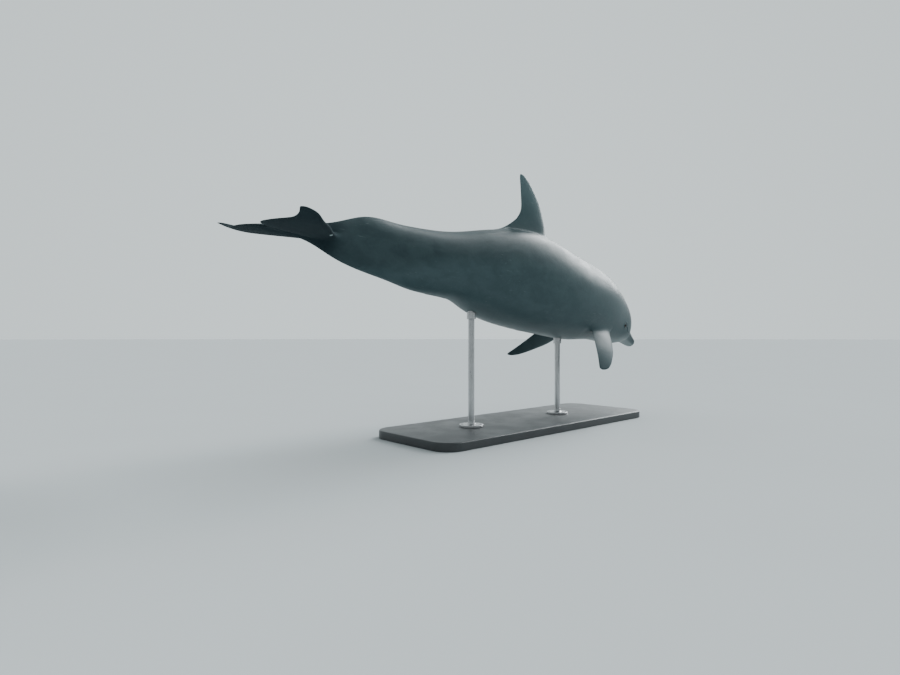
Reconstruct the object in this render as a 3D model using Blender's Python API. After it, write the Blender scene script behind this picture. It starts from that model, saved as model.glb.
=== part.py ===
"""A still, life-size museum model of an adult bottlenose dolphin on a display stand.

The animal is first drawn along a straight axis: s runs tailwards from the tip of the beak, y to
its left and z to its back. pose() then bends that axis, banks the body and pitches it.
World axes: +X is the way the animal heads and +Z is up. The origin is the centre of the
underside of the stand's base.
"""

import bmesh
import bpy
import numpy as np

# Driving sizes: metres and degrees. The tables below hold fractions of LENGTH.
LENGTH = 2.50  # tip of the beak to the notch of the flukes
GAP = 0.0003  # left between pieces that touch
BODY_SIDES = 36
TRUNK_STEP = 0.058  # between the rings of the trunk
FIN_LEVELS = 14
FIN_POINTS = 9  # along each face of a fin's section

# Pose
PIVOT = 0.45 * LENGTH  # this point of the axis is straight above the origin
PIVOT_HEIGHT = 0.70
PITCH = -6.0  # nose down
BANK = 5.4  # right side down
TAIL_TWIST = -0.8
HEAD_DROOP = 16.4
TAIL_DROP = 0.7
FLUKE_DROP = 4.3

# s, height of the back, depth of the belly, half width, all from the axis
TRUNK = (
    (0.047, 0.0000, 0.0000, 0.0000),
    (0.059, 0.0270, 0.0150, 0.0210),
    (0.078, 0.0455, 0.0290, 0.0335),
    (0.100, 0.0575, 0.0420, 0.0420),
    (0.135, 0.0680, 0.0545, 0.0500),
    (0.200, 0.0800, 0.0695, 0.0660),
    (0.300, 0.0880, 0.0882, 0.0820),
    (0.350, 0.0935, 0.0895, 0.0862),
    (0.400, 0.1020, 0.0892, 0.0870),
    (0.500, 0.1020, 0.0866, 0.0780),
    (0.560, 0.0880, 0.0805, 0.0675),
    (0.600, 0.0762, 0.0708, 0.0600),
    (0.630, 0.0673, 0.0608, 0.0542),
    (0.670, 0.0575, 0.0565, 0.0468),
    (0.740, 0.0485, 0.0540, 0.0335),
    (0.780, 0.0462, 0.0476, 0.0270),
    (0.840, 0.0425, 0.0392, 0.0180),
    (0.890, 0.0225, 0.0272, 0.0120),
    (0.930, 0.0120, 0.0130, 0.0100),
    (0.960, 0.0068, 0.0070, 0.0095),
    (0.985, 0.0022, 0.0022, 0.0075),
    (1.000, 0.0003, 0.0003, 0.0050),
)
BEAK = (
    (0.000, 0.0000, 0.0000, 0.0000),
    (0.006, 0.0085, 0.0105, 0.0095),
    (0.020, 0.0105, 0.0150, 0.0135),
    (0.045, 0.0155, 0.0185, 0.0185),
    (0.080, 0.0235, 0.0260, 0.0290),
    (0.120, 0.0290, 0.0340, 0.0380),
    (0.200, 0.0000, 0.0000, 0.0000),
)
AXIS_OFFSET = ((0, 0.05, 0.13, 0.30, 0.60, 1.0), (-0.006, -0.004, -0.002, -0.004, 0, 0))
ROUNDNESS = ((0, 0.1, 0.3, 0.6, 0.75, 0.9, 1.0), (2.3, 2.2, 2.15, 2.0, 1.75, 1.6, 1.8))
BEAK_ROUNDNESS = 2.3
BLEND = 0.008  # width in metres of the crease between the beak and the melon

# Outlines of the fins: span fraction and s, from the front of the root round the tip
DORSAL_OUTLINE = (
    (0.00, 0.3970), (0.12, 0.4050), (0.24, 0.4130), (0.44, 0.4270), (0.61, 0.4405),
    (0.78, 0.4605), (0.91, 0.4800), (1.00, 0.5040), (0.91, 0.5060), (0.78, 0.5010),
    (0.61, 0.4950), (0.44, 0.4915), (0.33, 0.4960), (0.24, 0.5075), (0.16, 0.5225),
    (0.08, 0.5420), (0.00, 0.5680),
)  # fmt: skip
FLIPPER_OUTLINE = (
    (0.00, -0.0077), (0.21, -0.0103), (0.42, -0.0048), (0.62, 0.0115), (0.81, 0.0332),
    (0.93, 0.0546), (1.00, 0.0811), (0.93, 0.0830), (0.81, 0.0787), (0.62, 0.0741),
    (0.42, 0.0712), (0.21, 0.0641), (0.00, 0.0447),
)  # fmt: skip
FLUKE_OUTLINE = (
    (0.00, 0.8780), (0.10, 0.8890), (0.27, 0.9080), (0.47, 0.9270), (0.67, 0.9485),
    (0.83, 0.9670), (0.95, 0.9840), (1.00, 1.0060), (0.95, 1.0065), (0.83, 1.0020),
    (0.67, 1.0040), (0.47, 1.0110), (0.27, 1.0130), (0.10, 1.0060), (0.00, 0.9920),
)  # fmt: skip
DORSAL_HEIGHT = 0.296
DORSAL_THICKNESS = 0.042
DORSAL_SUNK = 0.12  # span fraction that reaches down into the back
FLIPPER_SPAN = 0.392
FLIPPER_THICKNESS = 0.035
FLIPPER_ROOT = 0.202 * LENGTH
FLIPPER_FLANK = -38  # where round the flank the root sits
FLIPPER_INSET = (0.85, 0.90)  # shares of the flank's width and depth where the root starts
FLIPPER_SPREAD = 38.0  # outwards from straight down
FLIPPER_SWEEP = 18.2  # tailwards
FLUKE_SPAN = 0.332  # of one fluke
FLUKE_THICKNESS = 0.040
FLUKE_RISE = 0.007  # of the tips, besides their curl
FLUKE_CURL = (0.71, 0.019)  # span fraction where it starts, rise of the tips
TIP_THICKNESS = 0.004
EDGE_HALF = 0.0008
SECTION_REAR = 0.85  # how fast a fin's section thins towards its rear edge
SECTION_PEAK = 0.4087  # greatest value of the curve with that exponent

# Head
CREASE = 0.125  # between the beak and the melon
HEAD_END = 0.36
MOUTH = ((-0.02, 0.02, 0.11, 0.20, 0.255, 0.288), (-0.014, -0.015, -0.013, -0.024, -0.030, -0.018))
THROAT = (0.335, -0.20)  # where the jaw's rear cut leaves the underside
JAW_CUT_HALF = 0.2  # the cut is wider than the head
EYE_S = 0.322
EYE_ANGLE = -6
EYE_RADIUS = 0.0165
EYE_DEPTH = 0.0135

# Cuts across the body behind the head
BODY_PIECES = (
    ("neck", HEAD_END, 0.47),
    ("chest", 0.47, 0.82),
    ("midriff", 0.82, 1.25),
    ("loin", 1.25, 1.62),
    ("tail_stock_front", 1.62, 1.95),
    ("tail_stock_rear", 1.95, 2.24),
    ("tail_root", 2.24, 2.40),
)

# Stand
BASE_SIZE = (1.50, 0.50, 0.036)
BASE_CORNER = 0.09
BASE_EDGE = 0.006
FLANGE_RADIUS = 0.055
FLANGE_HEIGHT = 0.010
FLANGE_SIDES = 40
ROD_RADIUS = 0.014
ROD_SIDES = 24
RODS = (("front", 0.34 * LENGTH), ("rear", 0.60 * LENGTH))

# Name: base colour, roughness, metallic
MATERIALS = {
    "back_skin": ((0.040, 0.075, 0.083), 0.40, 0.0),
    "belly_skin": ((0.084, 0.122, 0.131), 0.40, 0.0),
    "fin_skin": ((0.022, 0.044, 0.050), 0.50, 0.0),
    "eye": ((0.020, 0.012, 0.008), 0.05, 0.0),
    "stand_paint": ((0.045, 0.050, 0.055), 0.45, 0.0),
    "stand_steel": ((0.62, 0.62, 0.62), 0.30, 1.0),
}


def smooth(t):
    """Rises from 0 to 1 with level ends."""
    t = np.clip(t, 0, 1)
    return t * t * t * (t * (6 * t - 15) + 10)


def natural_spline(xs, ys):
    """The natural cubic spline through (xs, ys), held level past its ends."""
    xs, ys = np.asarray(xs, float), np.asarray(ys, float)
    step = np.diff(xs)
    slope = np.diff(ys) / step
    system = np.eye(len(xs))
    right = np.zeros(len(xs))
    for i in range(1, len(xs) - 1):
        system[i, i - 1 : i + 2] = step[i - 1], 2 * (step[i - 1] + step[i]), step[i]
        right[i] = 6 * (slope[i] - slope[i - 1])
    bend = np.linalg.solve(system, right)

    def value(x):
        x = np.clip(x, xs[0], xs[-1])
        i = np.clip(np.searchsorted(xs, x) - 1, 0, len(step) - 1)
        a = (xs[i + 1] - x) / step[i]
        b = 1 - a
        curved = ((a**3 - a) * bend[i] + (b**3 - b) * bend[i + 1]) * step[i] ** 2 / 6
        return a * ys[i] + b * ys[i + 1] + curved

    return value


# ---------------------------------------------------------------- pose

AXIS_S = np.linspace(-0.1, 1.1, 1201) * LENGTH


def heading(s):
    """How far the axis points above level at s, in radians, before the body is pitched."""
    u = s / LENGTH
    head = -HEAD_DROOP * smooth((0.38 - u) / 0.28)
    tail = TAIL_DROP * smooth((u - 0.55) / 0.23) + FLUKE_DROP * smooth((u - 0.86) / 0.12)
    return np.radians(head + tail)


def travelled(rate):
    """How far the axis has gone towards the head at each AXIS_S, from the pivot."""
    steps = (rate[1:] + rate[:-1]) / 2 * np.diff(AXIS_S)
    way = np.concatenate([[0], np.cumsum(steps)])
    return np.interp(PIVOT, AXIS_S, way) - way


AXIS_X = travelled(np.cos(heading(AXIS_S)))
AXIS_Z = travelled(np.sin(heading(AXIS_S)))


def turned(a, b, angle):
    return a * np.cos(angle) - b * np.sin(angle), a * np.sin(angle) + b * np.cos(angle)


def pose(points):
    """World places of (s, y, z) points of the straight body."""
    s, y, z = np.moveaxis(np.asarray(points, float), -1, 0)
    y, z = turned(y, z, np.radians(TAIL_TWIST) * smooth((s / LENGTH - 0.8) / 0.15))
    rise = heading(s)
    x = np.interp(s, AXIS_S, AXIS_X) - z * np.sin(rise)
    z = np.interp(s, AXIS_S, AXIS_Z) + z * np.cos(rise)
    y, z = turned(y, z, np.radians(BANK))
    x, z = turned(x, z, np.radians(PITCH))
    return np.stack([x, y, z + PIVOT_HEIGHT], axis=-1)


# ---------------------------------------------------------------- body


def profile(table):
    """Back, belly and half width as functions of s, with a round nose at the first station."""
    rows = np.array(table) * LENGTH
    start, end = rows[0, 0], rows[-1, 0]
    splines = [natural_spline(np.sqrt(rows[:, 0] - start), rows[:, i]) for i in (1, 2, 3)]

    def sizes(s):
        inside = (s > start) & (s <= end)
        root = np.sqrt(np.clip(s - start, 0, None))
        return [np.maximum(spline(root), 0) * inside for spline in splines]

    return sizes


trunk_sizes = profile(TRUNK)
beak_sizes = profile(BEAK)


def oval(cosine, sine, back, belly, width, power):
    """Radius of a section with its own height above and below."""
    height = np.maximum(np.where(sine >= 0, back, belly), 1e-6)
    width = np.maximum(width, 1e-6)
    return (np.abs(cosine / width) ** power + np.abs(sine / height) ** power) ** (-1 / power)


def body_section(s, angle):
    """(s, y, z) on the body's surface; angle runs from the left flank over the back."""
    s = np.asarray(s, float)
    power = np.interp(s / LENGTH, *ROUNDNESS)
    trunk = trunk_sizes(s)
    beak = beak_sizes(s)
    back, belly, width = (np.maximum(a, b) for a, b in zip(trunk, beak))
    cosine, sine = np.cos(angle), np.sin(angle)
    y = width * np.sign(cosine) * np.abs(cosine) ** (2 / power)
    z = np.where(sine >= 0, back, belly) * np.sign(sine) * np.abs(sine) ** (2 / power)
    reach = np.hypot(y, z) + 1e-9
    cosine, sine = y / reach, z / reach
    outer = oval(cosine, sine, *trunk, power)
    inner = oval(cosine, sine, *beak, BEAK_ROUNDNESS)
    soft = BLEND * np.clip(inner / 0.03, 0.02, 1)
    both = (outer + inner + np.sqrt((outer - inner) ** 2 + soft**2)) / 2
    alone = (outer < 1e-5) | (inner < 1e-5)
    radius = np.where(alone, np.maximum(outer, inner), both)
    centre = LENGTH * np.interp(s / LENGTH, *AXIS_OFFSET)
    return np.stack([s + 0 * angle, radius * cosine, centre + radius * sine], axis=-1)


def body_stations():
    """Ring places: close together at the beak's tip and crease, wider along the trunk."""
    stations = list(CREASE * np.array([0.006, 0.03, 0.08, 0.16, 0.28, 0.45, 0.65, 0.82, 0.92]))
    stations += [*np.linspace(CREASE, 0.21, 8), *np.linspace(0.235, HEAD_END, 5)[:-1]]
    for _, start, end in BODY_PIECES:
        count = round((end - start) / TRUNK_STEP)
        stations += list(np.linspace(start, end, count, endpoint=False))
    return np.array([*stations, BODY_PIECES[-1][2]])


def body_rings(start, end, swell=0.0):
    """Rings of the body from start to end. swell moves each one outwards."""
    stations = body_stations()
    inner = stations[(stations > start + GAP) & (stations < end - GAP)]
    angles = np.linspace(0, 2 * np.pi, BODY_SIDES, endpoint=False)
    rings = []
    for s in (start, *inner, end):
        ring = body_section(np.full(BODY_SIDES, s), angles)
        middle = ring.mean(axis=0)
        outward = ring - middle
        outward /= np.linalg.norm(outward, axis=1, keepdims=True)
        rings.append(ring + swell * outward)
    return rings


# ---------------------------------------------------------------- meshes


def clear_scene():
    for item in list(bpy.data.objects):
        bpy.data.objects.remove(item)


def collection(name, hidden=False):
    made = bpy.data.collections.new(name)
    bpy.context.scene.collection.children.link(made)
    made.hide_render = hidden
    return made


def materials():
    made = {}
    for name, (colour, roughness, metallic) in MATERIALS.items():
        made[name] = bpy.data.materials.new(name)
        made[name].use_nodes = True
        shader = made[name].node_tree.nodes["Principled BSDF"]
        shader.inputs["Base Color"].default_value = (*colour, 1)
        shader.inputs["Roughness"].default_value = roughness
        shader.inputs["Metallic"].default_value = metallic
    return made


clear_scene()
PARTS = collection("bottlenose_dolphin")
CUTTERS = collection("cutters", hidden=True)
SKINS = materials()


def add_object(name, shape, material):
    """A node from a bmesh, or a hidden cutter when material is None."""
    bmesh.ops.recalc_face_normals(shape, faces=shape.faces)
    mesh = bpy.data.meshes.new(name)
    shape.to_mesh(mesh)
    shape.free()
    made = bpy.data.objects.new(name, mesh)
    if material is None:
        CUTTERS.objects.link(made)
        made.hide_render = True
        made.display_type = "WIRE"
        return made
    PARTS.objects.link(made)
    mesh.materials.append(SKINS[material])
    mesh.shade_smooth()
    mesh.set_sharp_from_angle(angle=np.radians(40))
    return made


def loft(name, rings, material):
    """A closed solid through rings of equal length, posed, with flat ends."""
    shape = bmesh.new()
    rows = [[shape.verts.new(point) for point in pose(ring)] for ring in rings]
    count = len(rows[0])
    for one, two in zip(rows, rows[1:]):
        for j in range(count):
            k = (j + 1) % count
            shape.faces.new((one[j], one[k], two[k]))
            shape.faces.new((one[j], two[k], two[j]))
    shape.faces.new(rows[0])
    shape.faces.new(rows[-1])
    return add_object(name, shape, material)


def combine(target, cutter, operation="DIFFERENCE"):
    change = target.modifiers.new(operation.title() + " " + cutter.name, "BOOLEAN")
    change.operation = operation
    change.object = cutter
    change.solver = "EXACT"


def ball(name, centre, radius, material):
    shape = bmesh.new()
    bmesh.ops.create_uvsphere(shape, u_segments=16, v_segments=9, radius=radius)
    made = add_object(name, shape, material)
    made.location = centre
    return made


# ---------------------------------------------------------------- head


def jaw_block(name, ease):
    """The space under the mouth line and in front of the throat, ease larger all round."""
    shape = bmesh.new()
    mouth = natural_spline(*MOUTH)
    line = [(s, mouth(s) + ease) for s in np.linspace(MOUTH[0][0], MOUTH[0][-1], 24)]
    line[-1] = (line[-1][0] + ease, line[-1][1])
    outline = [*line, (THROAT[0] + ease, THROAT[1]), (MOUTH[0][0], THROAT[1])]
    sides = []
    for y in (-JAW_CUT_HALF, JAW_CUT_HALF):
        places = pose([(s, y, z) for s, z in outline])
        sides.append([shape.verts.new(place) for place in places])
    count = len(outline)
    for j in range(count):
        k = (j + 1) % count
        shape.faces.new((sides[0][j], sides[0][k], sides[1][k], sides[1][j]))
    for side in sides:
        shape.faces.new(side)
    bmesh.ops.triangulate(shape, faces=shape.faces)
    return add_object(name, shape, None)


def eye_centre(side):
    """The centre of the eyeball: under the skin by EYE_DEPTH, along the section's radius."""
    s, y, z = body_section(EYE_S, np.radians(EYE_ANGLE))
    inwards = 1 - EYE_DEPTH / np.hypot(y, z)
    return (s, side * y * inwards, z * inwards)


def build_head():
    above = jaw_block("jaw_clearance", GAP)
    below = jaw_block("jaw_space", 0)
    tip = body_stations()[0]
    upper = loft("upper_jaw", body_rings(tip, CREASE - GAP / 2), "back_skin")
    head = loft("head", body_rings(CREASE + GAP / 2, HEAD_END - GAP / 2), "back_skin")
    lower = loft("lower_jaw", body_rings(tip, HEAD_END - GAP / 2), "belly_skin")
    combine(upper, above)
    combine(head, above)
    combine(lower, below, "INTERSECT")
    for side, label in ((1, "left"), (-1, "right")):
        centre = pose(eye_centre(side))
        combine(head, ball("socket_" + label, centre, EYE_RADIUS + GAP, None))
        ball("eye_" + label, centre, EYE_RADIUS, "eye")


# ---------------------------------------------------------------- fins


def outline_edges(table):
    """Leading and trailing edge of a fin by span fraction v, one smooth curve round the tip."""
    spans, places = np.array(table).T
    tip = int(np.argmax(spans))
    way = np.sqrt(1 - spans) * np.where(np.arange(len(spans)) < tip, -1, 1)
    curve = natural_spline(way, places * LENGTH)

    def edges(v):
        reach = np.sqrt(np.clip(1 - v, 0, 1))
        return curve(-reach), curve(reach)

    return edges


def fin_section(front, rear, normal, thickness):
    """A thin symmetric section from front to rear, thickest a third of the way back."""
    turn = np.linspace(0, np.pi, FIN_POINTS)
    along = (1 - np.cos(turn)) / 2
    shape = np.sqrt(along) * (1 - along) ** SECTION_REAR / SECTION_PEAK
    half = (thickness / 2 * shape + EDGE_HALF)[1:-1, None]
    chord = front + (rear - front) * along[:, None]
    over = chord[1:-1] + normal * half
    under = chord[1:-1] - normal * half
    return np.concatenate([chord[:1], over, chord[-1:], under[::-1]])


def fin_rings(place, normal, edges, thickness, sunk):
    """Sections from sunk (a span fraction below the root) out to the tip."""
    rings = []
    for way in np.linspace(np.sqrt(1 + sunk), 0.06, FIN_LEVELS):
        v = 1 - way * way
        front, rear = edges(max(v, 0))
        size = thickness * max(1 - v, 0) ** 0.8 + TIP_THICKNESS
        rings.append(fin_section(place(v, front), place(v, rear), normal, size))
    return rings


def dorsal_rings():
    """Height runs from the chord between the two ends of the fin's root."""
    starts = LENGTH * DORSAL_OUTLINE[0][1], LENGTH * DORSAL_OUTLINE[-1][1]
    backs = [body_section(s, np.pi / 2)[2] for s in starts]

    def place(v, s):
        return np.array([s, 0, np.interp(s, starts, backs) + DORSAL_HEIGHT * v - 0.01 * (1 - v)])

    edges = outline_edges(DORSAL_OUTLINE)
    return fin_rings(place, np.array([0, 1.0, 0]), edges, DORSAL_THICKNESS, DORSAL_SUNK)


def flipper_rings(side):
    """The flipper hangs from low on the flank, spread outwards and swept tailwards."""
    flank = body_section(FLIPPER_ROOT + 0.05, np.radians(FLIPPER_FLANK))
    across, deep = FLIPPER_INSET
    root = np.array([FLIPPER_ROOT, side * flank[1] * across, flank[2] * deep])
    spread, sweep = np.radians([FLIPPER_SPREAD, FLIPPER_SWEEP])
    down = np.array([0, side * np.sin(spread), -np.cos(spread)])
    back = np.array([1.0, 0, 0])
    out = down * np.cos(sweep) + back * np.sin(sweep)
    along = back * np.cos(sweep) - down * np.sin(sweep)

    def place(v, x):
        return root + out * FLIPPER_SPAN * v + along * x

    edges = outline_edges(FLIPPER_OUTLINE)
    return fin_rings(place, np.cross(out, along), edges, FLIPPER_THICKNESS, 0)


def fluke_rings(side):
    """Each fluke starts at the middle plane, almost flat, and curls up towards its tip."""
    start, curl = FLUKE_CURL

    def place(v, s):
        rise = FLUKE_RISE * v * v + curl * max((v - start) / (1 - start), 0) ** 2
        return np.array([s, side * (FLUKE_SPAN * v + GAP / 2), rise])

    edges = outline_edges(FLUKE_OUTLINE)
    return fin_rings(place, np.array([0, 0, 1.0]), edges, FLUKE_THICKNESS, 0)


def build_fins(body_space):
    fins = [loft("dorsal_fin", dorsal_rings(), "fin_skin")]
    for side, label in ((1, "left"), (-1, "right")):
        fins.append(loft("flipper_" + label, flipper_rings(side), "fin_skin"))
        fins.append(loft("fluke_" + label, fluke_rings(side), "fin_skin"))
    for fin in fins:
        combine(fin, body_space)


# ---------------------------------------------------------------- stand


def build_base():
    """A flat plate with round corners and a small bevel round its top."""
    shape = bmesh.new()
    bmesh.ops.create_cube(shape, size=1)
    bmesh.ops.scale(shape, vec=BASE_SIZE, verts=shape.verts)
    bmesh.ops.translate(shape, vec=(0, 0, BASE_SIZE[2] / 2), verts=shape.verts)
    upright = [e for e in shape.edges if abs(e.verts[0].co.z - e.verts[1].co.z) > 0.01]
    bmesh.ops.bevel(
        shape, geom=upright, offset=BASE_CORNER, segments=8, profile=0.5, affect="EDGES"
    )
    rim = [e for e in shape.edges if min(v.co.z for v in e.verts) > BASE_SIZE[2] - 0.001]
    bmesh.ops.bevel(shape, geom=rim, offset=BASE_EDGE, segments=2, profile=0.5, affect="EDGES")
    add_object("stand_base", shape, "stand_paint")


def upright_cylinder(name, centre, radius, bottom, top, sides):
    shape = bmesh.new()
    bmesh.ops.create_cone(
        shape, cap_ends=True, segments=sides, radius1=radius, radius2=radius, depth=top - bottom
    )
    made = add_object(name, shape, "stand_steel")
    made.location = (*centre, (bottom + top) / 2)
    return made


def build_rods(body_space):
    """Each rod stands on a flange and ends against the belly."""
    for label, s in RODS:
        x, _, height = pose((s, 0, 0))
        flange_bottom = BASE_SIZE[2] + GAP
        flange_top = flange_bottom + FLANGE_HEIGHT
        upright_cylinder(
            "stand_flange_" + label, (x, 0), FLANGE_RADIUS, flange_bottom, flange_top, FLANGE_SIDES
        )
        rod = upright_cylinder(
            "stand_rod_" + label, (x, 0), ROD_RADIUS, flange_top + GAP, height, ROD_SIDES
        )
        combine(rod, body_space)


def main():
    tip = body_stations()[0]
    body_space = loft("body_space", body_rings(tip, BODY_PIECES[-1][2], GAP), None)
    build_head()
    for name, start, end in BODY_PIECES:
        loft(name, body_rings(start + GAP / 2, end - GAP / 2), "back_skin")
    build_fins(body_space)
    build_base()
    build_rods(body_space)


main()
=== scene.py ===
"""Looks of a still, life-size museum model of a bottlenose dolphin on a display stand.

The body is drawn as in the CAD along a straight axis: s runs tailwards from the tip of the beak,
y to the animal's left and z to its back. pose() bends, banks and pitches it into place.
"""

import math

import bmesh
import bpy
import numpy as np
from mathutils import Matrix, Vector


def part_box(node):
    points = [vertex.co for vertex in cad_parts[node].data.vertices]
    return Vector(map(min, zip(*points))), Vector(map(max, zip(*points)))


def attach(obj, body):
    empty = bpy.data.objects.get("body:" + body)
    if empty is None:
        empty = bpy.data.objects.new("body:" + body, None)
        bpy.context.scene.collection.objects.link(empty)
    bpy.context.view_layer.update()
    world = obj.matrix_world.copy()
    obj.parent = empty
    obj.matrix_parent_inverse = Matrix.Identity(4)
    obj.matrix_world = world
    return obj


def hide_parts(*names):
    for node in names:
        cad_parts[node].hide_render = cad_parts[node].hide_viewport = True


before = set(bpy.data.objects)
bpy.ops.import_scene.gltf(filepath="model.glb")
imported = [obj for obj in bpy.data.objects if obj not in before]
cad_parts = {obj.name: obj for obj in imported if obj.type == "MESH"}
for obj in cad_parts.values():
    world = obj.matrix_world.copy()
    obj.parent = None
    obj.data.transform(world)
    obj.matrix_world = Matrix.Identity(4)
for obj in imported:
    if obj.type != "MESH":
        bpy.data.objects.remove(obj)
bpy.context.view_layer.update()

# ---------------- sizes, as in the CAD

LENGTH = 2.50
PIVOT = 0.45 * LENGTH
PIVOT_HEIGHT = 0.70
PITCH = -6.0
BANK = 5.4  # right side down
TAIL_TWIST = -0.8
HEAD_DROOP = 16.4
TAIL_DROP = 0.7
FLUKE_DROP = 4.3
# Where the body bends and twists: starting place and reach, in fractions of LENGTH
HEAD_BEND = (0.38, -0.28)
TAIL_BEND = (0.55, 0.23)
FLUKE_BEND = (0.86, 0.12)
TWIST_BEND = (0.80, 0.15)

# s, height of the back, depth of the belly, half width, in fractions of LENGTH
TRUNK = (
    (0.047, 0.0000, 0.0000, 0.0000),
    (0.059, 0.0270, 0.0150, 0.0210),
    (0.078, 0.0455, 0.0290, 0.0335),
    (0.100, 0.0575, 0.0420, 0.0420),
    (0.135, 0.0680, 0.0545, 0.0500),
    (0.200, 0.0800, 0.0695, 0.0660),
    (0.300, 0.0880, 0.0882, 0.0820),
    (0.350, 0.0935, 0.0895, 0.0862),
    (0.400, 0.1020, 0.0892, 0.0870),
    (0.500, 0.1020, 0.0866, 0.0780),
    (0.560, 0.0880, 0.0805, 0.0675),
    (0.600, 0.0762, 0.0708, 0.0600),
    (0.630, 0.0673, 0.0608, 0.0542),
    (0.670, 0.0575, 0.0565, 0.0468),
    (0.740, 0.0485, 0.0540, 0.0335),
    (0.780, 0.0462, 0.0476, 0.0270),
    (0.840, 0.0425, 0.0392, 0.0180),
    (0.890, 0.0225, 0.0272, 0.0120),
    (0.930, 0.0120, 0.0130, 0.0100),
    (0.960, 0.0068, 0.0070, 0.0095),
    (0.985, 0.0022, 0.0022, 0.0075),
    (1.000, 0.0003, 0.0003, 0.0050),
)
BEAK = (
    (0.000, 0.0000, 0.0000, 0.0000),
    (0.006, 0.0085, 0.0105, 0.0095),
    (0.020, 0.0105, 0.0150, 0.0135),
    (0.045, 0.0155, 0.0185, 0.0185),
    (0.080, 0.0235, 0.0260, 0.0290),
    (0.120, 0.0290, 0.0340, 0.0380),
    (0.200, 0.0000, 0.0000, 0.0000),
)
# By s: height of the sections' middle, and power of their outline, which is 2 for an ellipse
AXIS_OFFSET = ((0, 0.05, 0.13, 0.30, 0.60, 1.0), (-0.006, -0.004, -0.002, -0.004, 0, 0))
ROUNDNESS = ((0, 0.1, 0.3, 0.6, 0.75, 0.9, 1.0), (2.3, 2.2, 2.15, 2.0, 1.75, 1.6, 1.8))
BEAK_ROUNDNESS = 2.3
BLEND = 0.008  # width in metres of the crease between the beak and the melon

# Outlines of the fins from the front of the root round the tip: span fraction, and s in fractions
# of LENGTH, which on the flipper counts from its root
DORSAL_OUTLINE = (
    (0.00, 0.3970), (0.12, 0.4050), (0.24, 0.4130), (0.44, 0.4270), (0.61, 0.4405),
    (0.78, 0.4605), (0.91, 0.4800), (1.00, 0.5040), (0.91, 0.5060), (0.78, 0.5010),
    (0.61, 0.4950), (0.44, 0.4915), (0.33, 0.4960), (0.24, 0.5075), (0.16, 0.5225),
    (0.08, 0.5420), (0.00, 0.5680),
)
FLIPPER_OUTLINE = (
    (0.00, -0.0077), (0.21, -0.0103), (0.42, -0.0048), (0.62, 0.0115), (0.81, 0.0332),
    (0.93, 0.0546), (1.00, 0.0811), (0.93, 0.0830), (0.81, 0.0787), (0.62, 0.0741),
    (0.42, 0.0712), (0.21, 0.0641), (0.00, 0.0447),
)
FLUKE_OUTLINE = (
    (0.00, 0.8780), (0.10, 0.8890), (0.27, 0.9080), (0.47, 0.9270), (0.67, 0.9485),
    (0.83, 0.9670), (0.95, 0.9840), (1.00, 1.0060), (0.95, 1.0065), (0.83, 1.0020),
    (0.67, 1.0040), (0.47, 1.0110), (0.27, 1.0130), (0.10, 1.0060), (0.00, 0.9920),
)
DORSAL_HEIGHT = 0.296
DORSAL_THICKNESS = 0.042
DORSAL_SUNK = 0.01  # how far the root lies under the back
FLIPPER_SPAN = 0.392
FLIPPER_THICKNESS = 0.035
FLIPPER_ROOT = 0.202 * LENGTH
FLIPPER_FLANK = -38  # where round the flank the root sits
FLIPPER_INSET = (0.85, 0.90)  # shares of the flank's width and depth where the root starts
FLIPPER_SPREAD = 38.0  # outwards from straight down
FLIPPER_SWEEP = 18.2  # tailwards
FLUKE_SPAN = 0.332  # of one fluke
FLUKE_THICKNESS = 0.040
FLUKE_RISE = 0.007  # of the tips, besides their curl
FLUKE_CURL = (0.71, 0.019)  # span fraction where it starts, rise of the tips
TIP_THICKNESS = 0.004
EDGE_HALF = 0.0008
SECTION_REAR = 0.85  # how fast a fin's section thins towards its rear edge
SECTION_PEAK = 0.4087  # greatest value of the curve with that exponent

# The mouth line: s and height
MOUTH = ((-0.02, 0.02, 0.11, 0.20, 0.255, 0.288), (-0.014, -0.015, -0.013, -0.024, -0.030, -0.018))
MOUTH_CORNER = MOUTH[0][-1]
EYE_S = 0.322
EYE_ANGLE = -6
EYE_RADIUS = 0.0165
EYE_DEPTH = 0.0135  # of the eyeball's middle under the skin
CORNEA = 0.03  # how far it swells out, as a share of the eyeball's radius

# ---------------- sizes of the skin's mesh

COLUMNS = 144  # round the body; column 0 is the left flank, a quarter of them on is the back
BACK = COLUMNS // 4
MOUTH_COLUMN = -5  # lies along the mouth line
FLIPPER_COLUMN = -16  # the middle of the left flipper's root
FLUKE_COLUMN = 12  # lies along the edge of the flukes' roots
HALF_FOOT = 4  # columns from the middle of a fin's foot to its edge
DORSAL_FOOT = (0.972, 1.405)  # s where the fin's foot begins and ends
FLIPPER_FOOT = (0.474, 0.746)
FLUKE_FRONT = 2.168
# Span fractions where a fin is clear of its fillet, in front and at the rear
CLEAR = (0.14, 0.14)
FLIPPER_CLEAR = (0.13, 0.33)
FILLET_ROWS = 12
FIN_ROWS = 40
RELAX_ROUNDS = 30
MOST_POINTS = 400000  # room for all the skin's points
# From s, to s, number of rings
RING_SPANS = (
    (0.0004, 0.012, 8),
    (0.012, 0.104, 28),
    (0.104, 0.140, 17),
    (0.140, 0.280, 50),
    (0.280, 0.365, 40),
    (0.365, 0.470, 24),
    (0.470, 2.100, 190),
    (2.100, 2.474, 78),
)

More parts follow.
